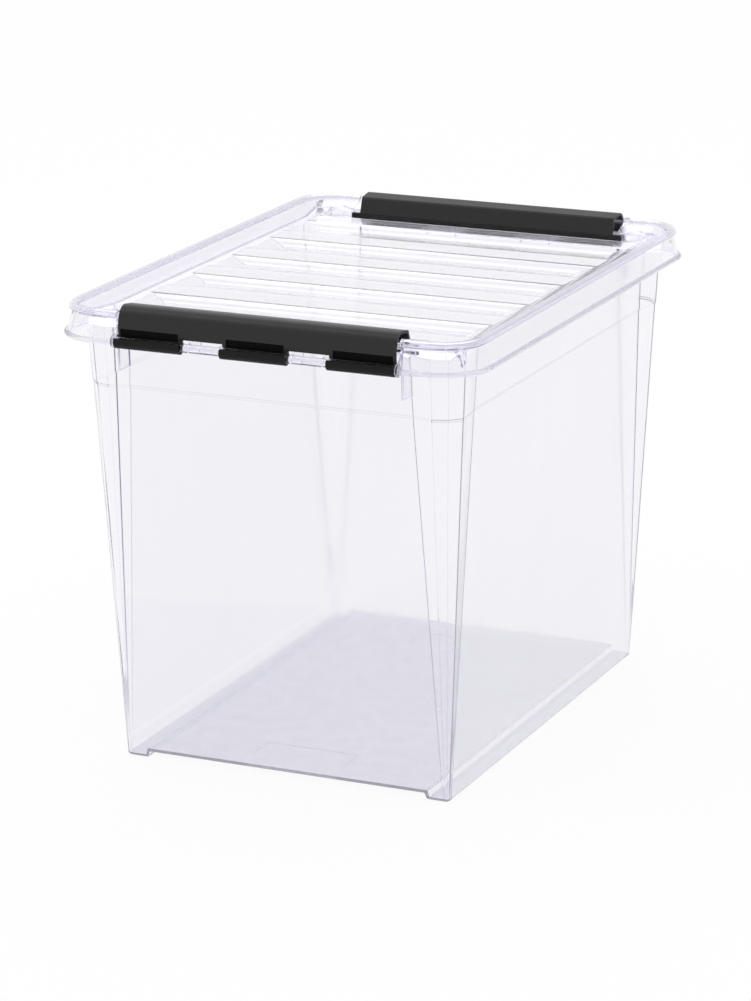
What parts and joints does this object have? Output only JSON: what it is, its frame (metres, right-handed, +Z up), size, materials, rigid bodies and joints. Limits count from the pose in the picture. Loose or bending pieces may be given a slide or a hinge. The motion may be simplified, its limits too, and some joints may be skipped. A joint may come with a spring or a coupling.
{
  "type": "clear storage box",
  "caption": "Tall clear plastic storage box: tapered tub with a flared rim, a scooped drop-in lid and a black hinged clip on each short side.",
  "frame": {"origin": "middle of the footprint, on the surface that the box stands on", "axes": "+X along a short side, parallel to the clips; +Y along a long side, towards the rear clip; +Z up"},
  "size_m": [0.3908, 0.53, 0.4141],
  "materials": {
    "clear_plastic": "clear moulded polypropylene, glossy, with a faint violet-grey tint at its edges",
    "black_plastic": "black moulded plastic, satin, with a fine grain"
  },
  "bodies": {
    "tub": {"tub": "clear_plastic"},
    "lid": {"lid": "clear_plastic"},
    "front_clip": {"front_clip": "black_plastic"},
    "rear_clip": {"rear_clip": "black_plastic"}
  },
  "joints": [
    {"name": "lid_lift", "type": "slide", "parent": "tub", "child": "lid", "axis": [0, 0, 1], "range_m": [0, 0.0144]},
    {"name": "front_clip_turn", "type": "hinge", "parent": "tub", "child": "front_clip", "pos_m": [0, -0.2592, 0.385], "axis": [1, 0, 0], "range_deg": [0, 165.1]},
    {"name": "rear_clip_turn", "type": "hinge", "parent": "tub", "child": "rear_clip", "pos_m": [0, 0.2592, 0.385], "axis": [-1, 0, 0], "range_deg": [0, 165.1]}
  ],
  "couplings": [
    {"joint": "front_clip_turn", "follows": "lid_lift", "rad_per_m": 200},
    {"joint": "rear_clip_turn", "follows": "lid_lift", "rad_per_m": 200}
  ]
}
